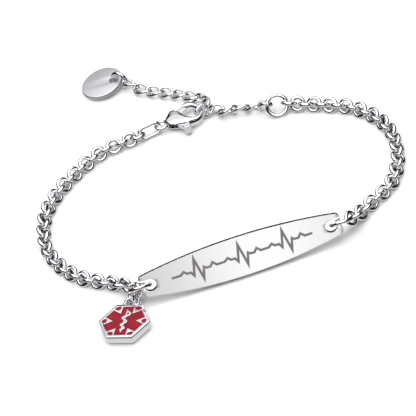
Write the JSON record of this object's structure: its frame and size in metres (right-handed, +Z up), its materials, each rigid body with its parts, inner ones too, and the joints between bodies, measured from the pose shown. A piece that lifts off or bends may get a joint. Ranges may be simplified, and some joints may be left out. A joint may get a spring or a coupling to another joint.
{
  "type": "medical alert bracelet with charm and extender chain",
  "caption": "Steel chain bracelet with a curved identity plate, hexagonal enamel medical charm, lever clasp, extender chain and round end tag, lying open as a closed loop.",
  "frame": {"origin": "middle of the bracelet's box, on the surface that it lies on", "axes": "+Y from the identity plate at the front to the clasp and the end tag at the back, +X along the plate to the viewer's right, +Z up"},
  "size_m": [0.0755, 0.0838, 0.008],
  "materials": {
    "plate_steel": "mirror polished face and edges",
    "polished_steel": "mirror polished",
    "tag_steel": "fine satin faces, polished rim",
    "red_enamel": "glossy hard enamel, deep crimson"
  },
  "bodies": {
    "bracelet": {"id_plate": "plate_steel", "plate_ring_left": "polished_steel", "plate_ring_right": "polished_steel", "chain_left": "polished_steel", "chain_right": "polished_steel", "clasp_ring": "polished_steel", "clasp_body": "polished_steel", "extender_chain": "polished_steel", "end_ring": "polished_steel", "tag_ring": "polished_steel", "end_tag": "tag_steel", "charm_body": "polished_steel", "charm_enamel": "red_enamel", "charm_ring": "polished_steel"},
    "lever": {"clasp_lever": "polished_steel"}
  },
  "joints": [
    {"name": "clasp_lever_hinge", "type": "hinge", "parent": "bracelet", "child": "lever", "pos_m": [-0.00469, 0.01953, 0.00148], "axis": [-0.0122, 0.0004, 0.9999], "range_deg": [-30, 0], "stiffness_Nm_per_rad": 0.00002, "springref_deg": 5.73}
  ]
}
